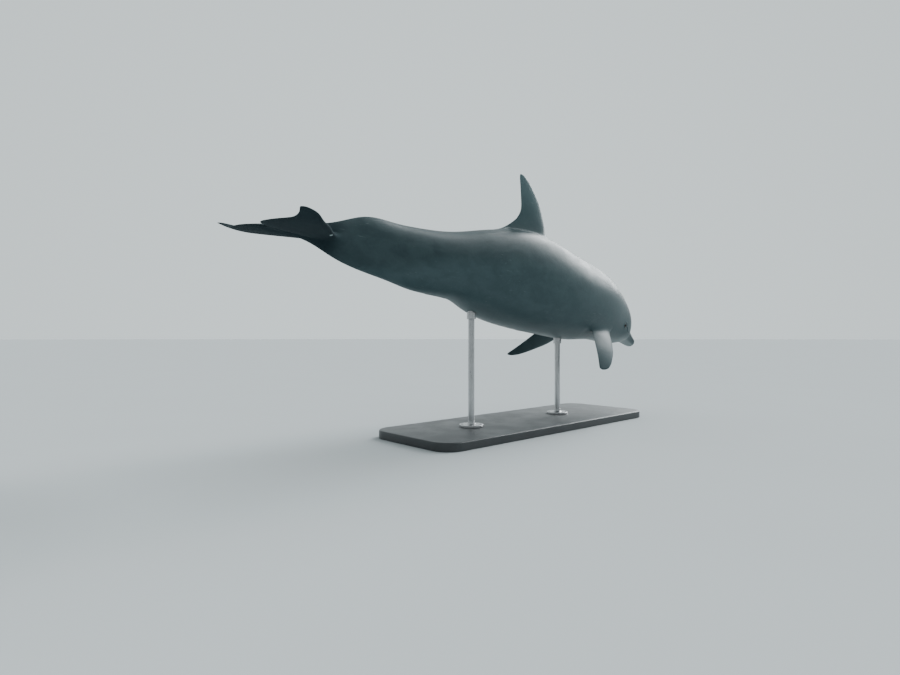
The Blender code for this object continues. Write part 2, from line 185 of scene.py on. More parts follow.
# Places on the UV map: left, bottom, width, height
BODY_PLACE = (0.005, 0.005, 0.53, 0.99)
DORSAL_PLACE = (0.55, 0.005, 0.33, 0.14)
FLIPPER_PLACES = {1: (0.55, 0.16, 0.14, 0.19), -1: (0.70, 0.16, 0.14, 0.19)}
FLUKE_PLACES = {1: (0.55, 0.37, 0.30, 0.17), -1: (0.55, 0.56, 0.30, 0.17)}
SMALL_PLACES = {
    name: (0.90, 0.01 + 0.06 * i, 0.08, 0.04)
    for i, name in enumerate(("left eye", "right eye", "blowhole", "navel", "vent"))
}
CAP_PLACE = (0.90, 0.31, 0.08, 0.03)
NOSE_PLACE = (0.90, 0.36, 0.08, 0.01)


def smooth(x, start=0.0, reach=1.0):
    """Rises from 0 at start to 1 at start + reach, with level ends."""
    t = np.clip((x - start) / reach, 0, 1)
    return t * t * t * (t * (6 * t - 15) + 10)


def bump(x, width):
    return np.exp(-((x / width) ** 2))


def natural_spline(xs, ys):
    """The natural cubic spline through (xs, ys), held level past its ends."""
    xs, ys = np.asarray(xs, float), np.asarray(ys, float)
    step = np.diff(xs)
    slope = np.diff(ys) / step
    system = np.eye(len(xs))
    right = np.zeros(len(xs))
    for i in range(1, len(xs) - 1):
        system[i, i - 1 : i + 2] = step[i - 1], 2 * (step[i - 1] + step[i]), step[i]
        right[i] = 6 * (slope[i] - slope[i - 1])
    bend = np.linalg.solve(system, right)

    def value(x):
        x = np.clip(x, xs[0], xs[-1])
        i = np.clip(np.searchsorted(xs, x) - 1, 0, len(step) - 1)
        a = (xs[i + 1] - x) / step[i]
        b = 1 - a
        curved = ((a**3 - a) * bend[i] + (b**3 - b) * bend[i + 1]) * step[i] ** 2 / 6
        return a * ys[i] + b * ys[i + 1] + curved

    return value


# ---------------- pose

AXIS_S = np.linspace(-0.1, 1.1, 1201) * LENGTH


def heading(s):
    """How far the axis points above level at s, in radians, before the body is pitched."""
    u = s / LENGTH
    head = -HEAD_DROOP * smooth(u, *HEAD_BEND)
    tail = TAIL_DROP * smooth(u, *TAIL_BEND) + FLUKE_DROP * smooth(u, *FLUKE_BEND)
    return np.radians(head + tail)


def travelled(rate):
    """How far the axis has gone towards the head at each AXIS_S, from the pivot."""
    steps = (rate[1:] + rate[:-1]) / 2 * np.diff(AXIS_S)
    way = np.concatenate([[0], np.cumsum(steps)])
    return np.interp(PIVOT, AXIS_S, way) - way


AXIS_X = travelled(np.cos(heading(AXIS_S)))
AXIS_Z = travelled(np.sin(heading(AXIS_S)))


def turned(a, b, angle):
    """The pair a, b turned about its origin."""
    return a * np.cos(angle) - b * np.sin(angle), a * np.sin(angle) + b * np.cos(angle)


def pose(points):
    """World places of (s, y, z) points of the straight body."""
    s, y, z = np.moveaxis(np.asarray(points, float), -1, 0)
    y, z = turned(y, z, np.radians(TAIL_TWIST) * smooth(s / LENGTH, *TWIST_BEND))
    rise = heading(s)
    x = np.interp(s, AXIS_S, AXIS_X) - z * np.sin(rise)
    z = np.interp(s, AXIS_S, AXIS_Z) + z * np.cos(rise)
    y, z = turned(y, z, np.radians(BANK))
    x, z = turned(x, z, np.radians(PITCH))
    return np.stack([x, y, z + PIVOT_HEIGHT], axis=-1)


# ---------------- body


def profile(table):
    """Back, belly and half width as functions of s, with a round nose at the first station."""
    rows = np.array(table) * LENGTH
    start, end = rows[0, 0], rows[-1, 0]
    splines = [natural_spline(np.sqrt(rows[:, 0] - start), rows[:, i]) for i in (1, 2, 3)]

    def sizes(s):
        inside = (s > start) & (s <= end)
        root = np.sqrt(np.clip(s - start, 0, None))
        return [np.maximum(spline(root), 0) * inside for spline in splines]

    return sizes


trunk_sizes = profile(TRUNK)
beak_sizes = profile(BEAK)


def sections_middle(s):
    return LENGTH * np.interp(s / LENGTH, *AXIS_OFFSET)


def oval(cosine, sine, back, belly, width, power):
    """Radius of a section with its own height above and below."""
    height = np.maximum(np.where(sine >= 0, back, belly), 1e-6)
    width = np.maximum(width, 1e-6)
    return (np.abs(cosine / width) ** power + np.abs(sine / height) ** power) ** (-1 / power)


def body_section(s, angle):
    """(s, y, z) on the body's surface; angle runs from the left flank over the back."""
    s = np.asarray(s, float)
    power = np.interp(s / LENGTH, *ROUNDNESS)
    trunk, beak = trunk_sizes(s), beak_sizes(s)
    back, belly, width = (np.maximum(a, b) for a, b in zip(trunk, beak))
    cosine, sine = np.cos(angle), np.sin(angle)
    y = width * np.sign(cosine) * np.abs(cosine) ** (2 / power)
    z = np.where(sine >= 0, back, belly) * np.sign(sine) * np.abs(sine) ** (2 / power)
    reach = np.hypot(y, z) + 1e-9
    cosine, sine = y / reach, z / reach
    outer = oval(cosine, sine, *trunk, power)
    inner = oval(cosine, sine, *beak, BEAK_ROUNDNESS)
    soft = BLEND * np.clip(inner / 0.03, 0.02, 1)
    both = (outer + inner + np.sqrt((outer - inner) ** 2 + soft**2)) / 2
    alone = (outer < 1e-5) | (inner < 1e-5)
    radius = np.where(alone, np.maximum(outer, inner), both)
    z = sections_middle(s) + radius * sine
    return np.stack([s + 0 * angle, radius * cosine, z], axis=-1)


def unit(vectors):
    return vectors / (np.linalg.norm(vectors, axis=-1, keepdims=True) + 1e-12)


def body_normal(s, angle):
    """Outward unit normal of the bare body, from small steps along and round it."""
    along = body_section(s + 5e-4, angle) - body_section(np.maximum(s - 5e-4, 5e-5), angle)
    round_it = body_section(s, angle + 2e-3) - body_section(s, angle - 2e-3)
    return unit(np.cross(round_it, along))


mouth_height = natural_spline(*MOUTH)


def mouth_angles():
    """The section angle of the mouth line on the left side, as a function of s."""
    places = np.linspace(0.001, MOUTH_CORNER, 120)
    angles = np.radians(np.linspace(-75, 45, 241))
    found = []
    for s in places:
        heights = body_section(np.full(len(angles), s), angles)[:, 2]
        found.append(np.interp(mouth_height(s), heights, angles))
    return lambda s: np.interp(s, places, found)


mouth_angle = mouth_angles()


def column_angle(column, s):
    """Section angle of a column. On the head the columns crowd along the mouth line."""
    turn = np.mod(2 * np.pi * column / COLUMNS, 2 * np.pi)
    left = np.cos(turn) >= 0
    q = np.where(left, np.arcsin(np.sin(turn)), np.arcsin(np.sin(np.pi - turn))) / (np.pi / 2)
    on_head = 1 - smooth(s, 0.30, 0.16)
    mouth = MOUTH_COLUMN / BACK
    shift = (mouth_angle(s) / (np.pi / 2) - mouth) * ((1 - q * q) / (1 - mouth**2)) ** 2
    crowd = np.interp(s, (0, 0.12, 0.22), (0.25, 0.6, 0.85))
    q_head = q + shift - crowd * (q - mouth) * bump(q - mouth, 0.16)
    edge = FLUKE_COLUMN / BACK
    place = edge + (0.2 - edge) * smooth(s, 1.85, 0.3) + 0.3556 * smooth(s, 2.18, 0.2)
    place = place + 0.24 * smooth(s, 2.38, 0.09)
    beyond = place + (np.abs(q) - edge) * (1 - place) / (1 - edge)
    q_tail = np.sign(q) * np.where(np.abs(q) < edge, np.abs(q) * place / edge, beyond)
    q = np.where(s < 1, q + (q_head - q) * on_head, q_tail)
    return np.where(left, q, 2 - q) * np.pi / 2


def wrapped(angle):
    """The same angle between minus pi and pi."""
    return np.mod(angle + np.pi, 2 * np.pi) - np.pi


def folded(angle):
    """The same angle on the left side, between the belly and the back."""
    return wrapped(np.where(np.cos(angle) >= 0, angle, np.pi - angle))


# ---------------- relief of the skin

EYE_HALF = (0.0125, 0.0074)  # half length and half height of the opening between the lids
EYE_TILT = math.radians(-14)
LID_EDGE = 0.0008  # how far the lids' edges stand off the eyeball
BLOWHOLE_S = 0.337
BLOWHOLE_HALF = 0.017
BLOWHOLE_BEND = 0.006
BLOWHOLE_GAP = 0.0011
# Slits along the belly: s of the middle, half length, half width
SLITS = {"navel": (1.12, 0.014, 0.0022), "vent": (1.69, 0.050, 0.0018)}


def eyeball_centre():
    s, y, z = body_section(EYE_S, np.radians(EYE_ANGLE))
    inwards = 1 - EYE_DEPTH / np.hypot(y, z)
    return np.array([s, y * inwards, z * inwards])


def nearest_place(point):
    """s, angle and distance of the place on the left side of the body nearest to a point."""
    s, angle = EYE_S, np.radians(EYE_ANGLE)
    for reach in (0.02, 0.004, 0.0008):
        grid_s = s + np.linspace(-reach, reach, 41)[:, None]
        grid_angle = angle + np.linspace(-reach, reach, 41)[None, :] * 6
        far = np.linalg.norm(body_section(grid_s, grid_angle) - point, axis=-1)
        row, column = np.unravel_index(np.argmin(far), far.shape)
        s, angle = grid_s[row, 0], grid_angle[0, column]
    return s, angle, far.min()


EYE_CENTRE = eyeball_centre()
EYE_FOOT_S, EYE_FOOT_ANGLE, EYE_SUNK = nearest_place(EYE_CENTRE)


def girth_radius(s, angle):
    """Length of arc on the section per radian of its angle."""
    step = body_section(s, angle + 5e-3) - body_section(s, angle - 5e-3)
    return np.linalg.norm(step, axis=-1) / 1e-2


def radians_along(start, end, count, angle_at):
    """girth_radius as a function of s, along the line whose angle is angle_at(s)."""
    places = np.linspace(start, end, count)
    found = girth_radius(places, angle_at(places))
    return lambda s: np.interp(s, places, found)


mouth_radian = radians_along(0.002, MOUTH_CORNER, 60, mouth_angle)
belly_radian = radians_along(0.5, 2.2, 40, lambda s: 0 * s - np.pi / 2)
EYE_RADIAN = float(girth_radius(EYE_FOOT_S, EYE_FOOT_ANGLE))
TOP_RADIAN = float(girth_radius(BLOWHOLE_S, np.pi / 2))


def ball_height(reach):
    """Height of the eyeball over the bare skin, at a distance from its middle."""
    return np.sqrt(np.clip(EYE_RADIUS**2 - reach**2, 1e-8, None)) - EYE_SUNK


def eye_outline(turn):
    """The opening between the lids: distance from its middle, in a direction on the skin."""
    turn = turn - EYE_TILT
    return 1 / np.hypot(np.cos(turn) / EYE_HALF[0], np.sin(turn) / EYE_HALF[1])


def eye_relief(along, up):
    """The lids, the folds round them and the brow."""
    turn = np.arctan2(up, along)
    edge = eye_outline(turn)
    beyond = np.maximum(np.hypot(along, up) - edge, 0)
    lid = (ball_height(edge) + LID_EDGE) * np.exp(-((beyond / 0.0062) ** 1.6))
    upper = smooth(0.5 + 0.9 * np.sin(turn - EYE_TILT))
    roll = 0.0010 * bump(beyond - 0.0022, 0.0014)
    fold = -(0.0007 + 0.0006 * upper) * bump(beyond - 0.0066, 0.0015)
    brow = (0.0006 + 0.0012 * upper) * bump(beyond - 0.0115, 0.0036)
    fade = 1 - smooth(beyond, 0.013, 0.009)
    return (lid + roll + fold + brow) * fade


def mouth_relief(s, side):
    """The groove of the mouth, the lips along it and the dimple at its corner."""
    across = (side - mouth_angle(s)) * mouth_radian(s)
    fade = 1 - smooth(s, MOUTH_CORNER - 0.006, 0.012)
    narrow = np.interp(s, (0, 0.02), (0.0011, 0.0015))
    groove = -0.0030 * bump(across, narrow)
    lips = 0.0009 * (bump(across - 0.0052, 0.0034) + bump(across + 0.0052, 0.0034))
    lips = lips * smooth(s, 0, 0.02)
    corner = -0.0016 * bump(np.hypot(s - MOUTH_CORNER, across), 0.006)
    return (groove + lips) * fade + corner


def from_blowhole(s, across):
    """Distance on the skin from the blowhole, a slit across the head that bows forward."""
    bow = BLOWHOLE_BEND * np.minimum(across / BLOWHOLE_HALF, 1) ** 2
    return np.hypot(s - BLOWHOLE_S + bow, np.maximum(across - BLOWHOLE_HALF, 0))


def from_slit(along, across, half):
    """Distance on the skin from a slit that lies along the body."""
    return np.hypot(across, np.maximum(np.abs(along) - half, 0))


def relief(s, angle):
    """How far the skin stands out from the bare body."""
    side = folded(angle)
    eye = eye_relief(s - EYE_FOOT_S, (side - EYE_FOOT_ANGLE) * EYE_RADIAN)
    height = mouth_relief(s, side) + eye
    away = from_blowhole(s, (np.pi / 2 - side) * TOP_RADIAN)
    height += 0.0013 * bump(away - 0.0042, 0.0032) - 0.0012 * bump(away, 0.0016)
    for middle, half, _ in SLITS.values():
        away = from_slit(s - middle, (side + np.pi / 2) * belly_radian(middle), half)
        height += 0.0012 * bump(away - 0.005, 0.004) - 0.0016 * bump(away, 0.003)
    return height


def skin_point(s, angle):
    s, angle = np.broadcast_arrays(np.asarray(s, float), angle)
    return body_section(s, angle) + body_normal(s, angle) * relief(s, angle)[..., None]


# ---------------- the skin's mesh


class Skin:
    """Points of the straight body, and faces in grids that each have a place on the UV map."""

    def __init__(self):
        self.points = np.zeros((0, 3))
        self.outward = np.zeros(0)  # how far out along a fin, 0 on the body
        self.faces = []
        self.corners = []  # on the UV map, in the order of the faces' corners
        self.normals = None  # of the body's points, which come first
        self.soft = None  # how far each point follows its neighbours when they are evened out

    def add(self, points, outward=0.0):
        points = np.asarray(points, float)
        shape = points.shape[:-1]
        first = len(self.points)
        self.points = np.concatenate([self.points, points.reshape(-1, 3)])
        self.outward = np.append(self.outward, np.broadcast_to(outward, shape))
        return np.arange(first, len(self.points)).reshape(shape)

    def grid(self, ids, place, taken=None):
        """Faces between rows of points, except where taken is true.

        place is the corner, width and height on the UV map.
        """
        rows, columns = np.array(ids.shape) - 1
        u0, v0, wide, high = place
        for i, j in np.ndindex(rows, columns):
            if taken is not None and taken[i, j]:
                continue
            face = {}
            for a, b in ((i, j), (i, j + 1), (i + 1, j + 1), (i + 1, j)):
                spot = u0 + wide * b / columns, v0 + high * a / rows
                face.setdefault(int(ids[a, b]), spot)
            if len(face) > 2:
                self.faces.append(list(face))
                self.corners.extend(face.values())

    def tube(self, rows, place, taken=None):
        """Faces between closed rows of points."""
        self.grid(np.concatenate([rows, rows[:, :1]], axis=1), place, taken)

    def fan(self, loop, centre, place):
        """Faces from a closed row of points to one point."""
        self.tube(np.stack([loop, np.full(len(loop), centre)]), place)


def end_strip(place):
    """A thin strip of the UV map just over a place."""
    return place[0], place[1] + place[3], place[2], 0.002


def ring_places():
    spans = [np.linspace(a, b, n, endpoint=False) for a, b, n in RING_SPANS]
    places = np.append(np.concatenate(spans), RING_SPANS[-1][1])
    nose = RING_SPANS[0]
    places[: nose[2]] = nose[1] * (np.linspace(0.18, 1, nose[2], endpoint=False)) ** 2
    return places


RINGS = ring_places()


def ring_at(s):
    return int(np.argmin(np.abs(RINGS - s)))


def border(ids, hole, rear=None):
    """The points round a hole, from the middle of its front edge through its last column."""
    i0, i1, j0, j1 = hole
    patch = ids[i0 : i1 + 1, np.arange(j0, j1 + 1) % COLUMNS]
    half = (j1 - j0) // 2
    rear = patch[-1, ::-1] if rear is None else rear
    sides = patch[:-1, -1], rear[:-1], patch[:0:-1, 0]
    return np.concatenate([patch[0, half:-1], *sides, patch[0, :half]])


def hermite(start, end, start_way, end_way, t):
    """Rows of points on curves between two rows, with given ways out and in."""
    t = t[:, None, None]
    return (
        start * (2 * t**3 - 3 * t**2 + 1)
        + start_way * (t**3 - 2 * t**2 + t)
        + end * (3 * t**2 - 2 * t**3)
        + end_way * (t**3 - t**2)
    )


# ---------------- fins


def outline_edges(table):
    """Leading and trailing edge of a fin by span fraction v, one smooth curve round the tip."""
    spans, places = np.array(table).T
    tip = int(np.argmax(spans))
    way = np.sqrt(1 - spans) * np.where(np.arange(len(spans)) < tip, -1, 1)
    curve = natural_spline(way, places * LENGTH)

    def edges(v):
        reach = np.sqrt(np.clip(1 - v, 0, 1))
        return curve(-reach), curve(reach)

    return edges


def fin_surface(place, normal, outline, thickness):
    """A function of span fraction v and turn round the section: 0 in front, pi at the rear."""
    edges = outline_edges(outline)

    def point(v, turn):
        v, turn = np.broadcast_arrays(v, turn)
        front, rear = edges(v)
        along = (1 - np.cos(turn)) / 2
        shape = np.sqrt(along) * (1 - along) ** SECTION_REAR / SECTION_PEAK
        size = thickness * np.clip(1 - v, 0, 1) ** 0.8 + TIP_THICKNESS
        half = size / 2 * shape + EDGE_HALF * np.sqrt(np.abs(np.sin(turn)))
        half = half * smooth(1 - v, 0, 0.012) ** 0.5 * np.sign(np.sin(turn))
        return place(v, front + (rear - front) * along) + normal * half[..., None]

    return point


def dorsal_surface():
    starts = LENGTH * DORSAL_OUTLINE[0][1], LENGTH * DORSAL_OUTLINE[-1][1]
    backs = [float(body_section(s, np.pi / 2)[2]) for s in starts]

    def place(v, s):
        z = np.interp(s, starts, backs) + DORSAL_HEIGHT * v - DORSAL_SUNK * (1 - v)
        return np.stack([s, 0 * s, z], axis=-1)

    return fin_surface(place, np.array([0, 1.0, 0]), DORSAL_OUTLINE, DORSAL_THICKNESS)


def flipper_surface(side):
    flank = body_section(FLIPPER_ROOT + 0.05, np.radians(FLIPPER_FLANK))
    across, deep = FLIPPER_INSET
    root = np.array([FLIPPER_ROOT, side * flank[1] * across, flank[2] * deep])
    spread, sweep = np.radians([FLIPPER_SPREAD, FLIPPER_SWEEP])
    down = np.array([0, side * np.sin(spread), -np.cos(spread)])
    back = np.array([1.0, 0, 0])
    out = down * np.cos(sweep) + back * np.sin(sweep)
    along = back * np.cos(sweep) - down * np.sin(sweep)

    def place(v, x):
        return root + out * FLIPPER_SPAN * v[..., None] + along * x[..., None]

    return fin_surface(place, np.cross(out, along), FLIPPER_OUTLINE, FLIPPER_THICKNESS)


def fluke_surface(side):
    def place(v, s):
        start, curl = FLUKE_CURL
        rise = FLUKE_RISE * v * v + curl * np.clip((v - start) / (1 - start), 0, 1) ** 2
        return np.stack([s, side * FLUKE_SPAN * v, rise], axis=-1)

    return fin_surface(place, np.array([0, 0, 1.0]), FLUKE_OUTLINE, FLUKE_THICKNESS)


def section_turns(hole, rear_count):
    """Turn round a fin's section for each point of its hole's border."""
    i0, i1, j0, j1 = hole
    half = (j1 - j0) // 2
    share = (RINGS[i0 : i1 + 1] - RINGS[i0]) / (RINGS[i1] - RINGS[i0])
    side = np.arccos(1 - 2 * (0.02 + 0.965 * share))
    front = side[0] * np.arange(half) / half
    rear = np.linspace(side[-1], 2 * np.pi - side[-1], rear_count + 1)[:-1]
    other = 2 * np.pi - side[::-1]
    return np.concatenate([front, side[:-1], rear, other[:-1], other[-1] + front])


def add_fin(skin, ids, hole, surface, starts, place, rear=None):
    """A fin that grows out of a hole in the body, first as a fillet of a few rows.

    starts are the span fractions where the fin is clear of the body, in front and at the rear.
    """
    loop = border(ids, hole, rear)
    i0, i1, j0, j1 = hole
    turn = section_turns(hole, (j1 - j0) if rear is None else len(rear) - 1)
    base, normal = skin.points[loop], skin.normals[loop]
    beside = (j1 - j0) // 2 + (i1 - i0) // 2
    over, under = (surface(starts[0], sign * turn[beside]) for sign in (1, -1))
    if np.linalg.norm(under - base[beside]) < np.linalg.norm(over - base[beside]):
        turn = -turn
    first = starts[0] + (starts[1] - starts[0]) * (1 - np.cos(turn)) / 2
    clear = surface(first, turn)
    step = clear - base
    reach = np.linalg.norm(step, axis=1, keepdims=True) * 1.1
    level = unit(step - normal * np.sum(step * normal, axis=1, keepdims=True))
    upward = unit(surface(first + 0.01, turn) - clear)
    t = np.linspace(0, 1, FILLET_ROWS + 2)[1:-1]
    fillet = hermite(base, clear, level * reach, upward * reach, t)
    way = np.linspace(0, 1, FIN_ROWS)[:, None]
    way = np.sqrt(1 - first) * (1 - way) + 0.015 * way
    blade = surface(1 - way**2, turn[None, :])
    rise = np.broadcast_to(t[:, None], fillet.shape[:2])
    fillet_ids = skin.add(fillet, rise * first)
    blade_ids = skin.add(blade, 1 - way**2 + 0 * turn)
    skin.tube(np.concatenate([loop[None], fillet_ids, blade_ids]), place)
    tip = skin.add(blade[-1].mean(axis=0), 1.0)
    skin.fan(blade_ids[-1], tip, end_strip(place))
    skin.soft[fillet_ids] = 1
    skin.soft[loop] = 0.9
    skin.soft[blade_ids[:5]] = np.array([0.9, 0.7, 0.5, 0.3, 0.15])[:, None]


# ---------------- eyes, blowhole and slits


def flat_places(grid, loop, s, angle, radian):
    """Where a loop's points lie on the skin laid flat: tailwards and over a place, in metres."""
    s_all, angle_all = grid
    return s_all.ravel()[loop] - s, wrapped(angle_all.ravel()[loop] - angle) * radian


def rows_to_opening(skin, loop, opening, edge, shares, place):
    """Rows of skin from a hole's border to an opening; place is the middle, and its radian."""
    s, angle, radian = place
    rows = [loop]
    for share in shares:
        u, w = (a * (1 - share) + b * share for a, b in zip(opening, edge))
        rows.append(skin.add(skin_point(s + u, angle + w / radian)))
    return rows


def add_eye(skin, ids, grid, side, place):
    """The lids: rows from the head to the almond-shaped opening, and a rim tucked inside."""
    middle = EYE_FOOT_ANGLE if side > 0 else np.pi - EYE_FOOT_ANGLE
    row = ring_at(EYE_FOOT_S)
    near = np.flatnonzero(np.abs(wrapped(grid[1][row] - middle) * EYE_RADIAN) < 0.023)
    near = np.where(near > COLUMNS * 3 // 4, near - COLUMNS, near)
    hole = (row - 12, row + 12, near.min() - 1, near.max() + 1)
    if (hole[3] - hole[2]) % 2:
        hole = (*hole[:3], hole[3] + 1)
    loop = border(ids, hole)
    foot = (EYE_FOOT_S, middle, EYE_RADIAN * side)
    along, up = flat_places(grid, loop, *foot)
    turn = np.arctan2(up, along)
    edge = eye_outline(turn)
    opening = edge * np.cos(turn), edge * np.sin(turn)
    shares = (1 - np.linspace(0, 1, 18)[1:-1]) ** 1.6
    rows = rows_to_opening(skin, loop, opening, (along, up), shares, foot)
    for size, lift in ((1, LID_EDGE), (0.985, 0.0004), (0.955, 0.0), (0.8, -0.003)):
        s = EYE_FOOT_S + size * opening[0]
        angle = middle + size * opening[1] / foot[2]
        height = ball_height(size * edge) + lift
        points = body_section(s, angle) + body_normal(s, angle) * height[:, None]
        rows.append(skin.add(points))
    skin.tube(np.array(rows), place)
    inside = skin.add(skin.points[rows[-1]].mean(axis=0) - [0, side * 0.004, 0])
    skin.fan(rows[-1], inside, end_strip(place))
    return hole


def add_slit(skin, ids, grid, hole, middle, radian, outline, lengthwise, place):
    """A slit in the skin: rows from the hole's border to its lips, then down to its bottom."""
    loop = border(ids, hole)
    s0 = (RINGS[hole[0]] + RINGS[hole[1]]) / 2
    foot = (s0, middle, radian)
    along, across = flat_places(grid, loop, *foot)
    turn = np.arctan2(across / np.abs(across).max(), -along / np.abs(along).max())
    shares = (1 - np.linspace(0, 1, 11)[1:]) ** 1.5
    rows = rows_to_opening(skin, loop, outline(turn, 1), (along, across), shares, foot)
    for shrink, depth in ((0.7, 0.0016), (0.45, 0.0034), (0.3, 0.0055)):
        u, w = outline(turn, shrink)
        s, angle = s0 + u, middle + w / radian
        points = skin_point(s, angle) - body_normal(s, angle) * depth
        rows.append(skin.add(points))
    skin.tube(np.array(rows), place)
    bottom = rows[-1]
    half = len(loop) // 2
    if lengthwise:
        pairs = np.stack([bottom[: half + 1], np.roll(bottom[::-1], 1)[: half + 1]])
        skin.grid(pairs, end_strip(place))
    else:
        steps = np.arange(half // 2 + 1)
        for start in (0, half):
            one = bottom[(start + steps) % len(loop)]
            other = bottom[(start + half - steps) % len(loop)]
            skin.grid(np.stack([one, other]), end_strip(place))


# ---------------- the whole skin


def add_tail_end(skin, ids):
    """The end between the flukes, rounded from the back strip to the belly strip."""
    strip = np.arange(FLUKE_COLUMN, 2 * BACK - FLUKE_COLUMN + 1)
    over, under = ids[-1, strip], ids[-1, -strip % COLUMNS]
    top, bottom = skin.points[over], skin.points[under]
    bend = np.linspace(0, np.pi, 9)[1:-1, None, None]
    half = (top - bottom) / 2
    cap = (top + bottom) / 2 + half * np.cos(bend)
    cap[..., 0] += np.abs(half[..., 2]) * np.sin(bend[..., 0])
    rearward = unit(half * np.cos(bend) + np.array([1.0, 0, 0]) * np.sin(bend) * 0.006)
    skin.normals = np.concatenate([skin.normals, rearward.reshape(-1, 3)])
    rows = np.concatenate([over[None], skin.add(cap), under[None]])
    skin.grid(rows, CAP_PLACE)
    return rows


def add_slits(skin, ids, grid):
    """The blowhole across the head and the slits along the belly."""

    def blowhole(turn, shrink):
        across = BLOWHOLE_HALF * np.sin(turn)
        bow = BLOWHOLE_BEND * np.sin(turn) ** 2
        return -bow - BLOWHOLE_GAP * shrink * np.cos(turn), across

    row = ring_at(BLOWHOLE_S)
    holes = [(row - 11, row + 11, BACK - 3, BACK + 3)]
    place = SMALL_PLACES["blowhole"]
    add_slit(skin, ids, grid, holes[0], np.pi / 2, TOP_RADIAN, blowhole, False, place)
    for name, (s, length, width) in SLITS.items():

        def lips(turn, shrink):
            return -length * np.cos(turn), width * shrink * np.sin(turn)

        row = ring_at(s)
        rows = int(round((length + 0.022) / 0.0086))
        hole = (row - rows, row + rows, -BACK - 2, -BACK + 2)
        holes.append(hole)
        radian = float(belly_radian(s))
        add_slit(skin, ids, grid, hole, -np.pi / 2, radian, lips, True, SMALL_PLACES[name])
    return holes


def build_skin():
    """The fins, eyes and slits with their holes first, then the body's faces between them."""
    skin = Skin()
    s_all = np.repeat(RINGS[:, None], COLUMNS, axis=1)
    angle_all = column_angle(np.arange(COLUMNS)[None, :], s_all)
    grid = (s_all, angle_all)
    ids = skin.add(skin_point(s_all, angle_all))
    skin.normals = body_normal(s_all, angle_all).reshape(-1, 3)
    tail_end = add_tail_end(skin, ids)
    skin.soft = np.zeros(MOST_POINTS)
    left, right = FLIPPER_COLUMN, 2 * BACK - FLIPPER_COLUMN
    holes = []
    for surface, middle, foot, starts, place in (
        (dorsal_surface(), BACK, DORSAL_FOOT, CLEAR, DORSAL_PLACE),
        (flipper_surface(1), left, FLIPPER_FOOT, FLIPPER_CLEAR, FLIPPER_PLACES[1]),
        (flipper_surface(-1), right, FLIPPER_FOOT, FLIPPER_CLEAR, FLIPPER_PLACES[-1]),
    ):
        hole = (*(ring_at(s) for s in foot), middle - HALF_FOOT, middle + HALF_FOOT)
        holes.append(hole)
        add_fin(skin, ids, hole, surface, starts, place)
    for side, middle, edge in ((1, 0, 0), (-1, 2 * BACK, -1)):
        columns = middle - FLUKE_COLUMN, middle + FLUKE_COLUMN
        hole = (ring_at(FLUKE_FRONT), len(RINGS) - 1, *columns)
        holes.append(hole)
        rear = tail_end[::side, edge]
        add_fin(skin, ids, hole, fluke_surface(side), CLEAR, FLUKE_PLACES[side], rear)
    for side, name in ((1, "left eye"), (-1, "right eye")):
        holes.append(add_eye(skin, ids, grid, side, SMALL_PLACES[name]))
    holes += add_slits(skin, ids, grid)
    taken = np.zeros(ids.shape, bool)
    for i0, i1, j0, j1 in holes:
        taken[i0:i1, np.arange(j0, j1) % COLUMNS] = True
    skin.tube(ids, BODY_PLACE, taken)
    nose = skin.add(body_section(0.0003, 0.0) * [0, 0, 1] + [0.0024, 0, 0])
    skin.fan(ids[0], nose, NOSE_PLACE)
    return skin


def edge_ends(faces):
    """Both ends of each edge of each face; a triangle is taken as a quad with a doubled corner."""
    rows = np.array([face if len(face) == 4 else [*face, face[-1]] for face in faces])
    ends = np.concatenate([rows[:, [0, 1]], rows[:, [1, 2]], rows[:, [2, 3]], rows[:, [3, 0]]])
    return ends[ends[:, 0] != ends[:, 1]]


def relax(skin, rounds):
    """Evens out the fillets and the skin next to them."""
    count = len(skin.points)
    ends = edge_ends(skin.faces)
    one, other = np.concatenate([ends, ends[:, ::-1]]).T
    soft = skin.soft[:count]
    for share in (0.7, 0.4, 0.2):
        marked = soft > 0
        fresh = np.zeros(count, bool)
        fresh[one[marked[other]]] = True
        soft[fresh & ~marked] = share
    near = soft[one] > 0
    one, other = one[near], other[near]
    number = np.maximum(np.bincount(one, minlength=count), 1)[:, None]
    for _ in range(rounds):
        totals = [np.bincount(one, skin.points[other, k], count) for k in range(3)]
        mean = np.stack(totals, axis=1) / number
        skin.points += soft[:, None] * 0.5 * (mean - skin.points)


# ---------------- materials


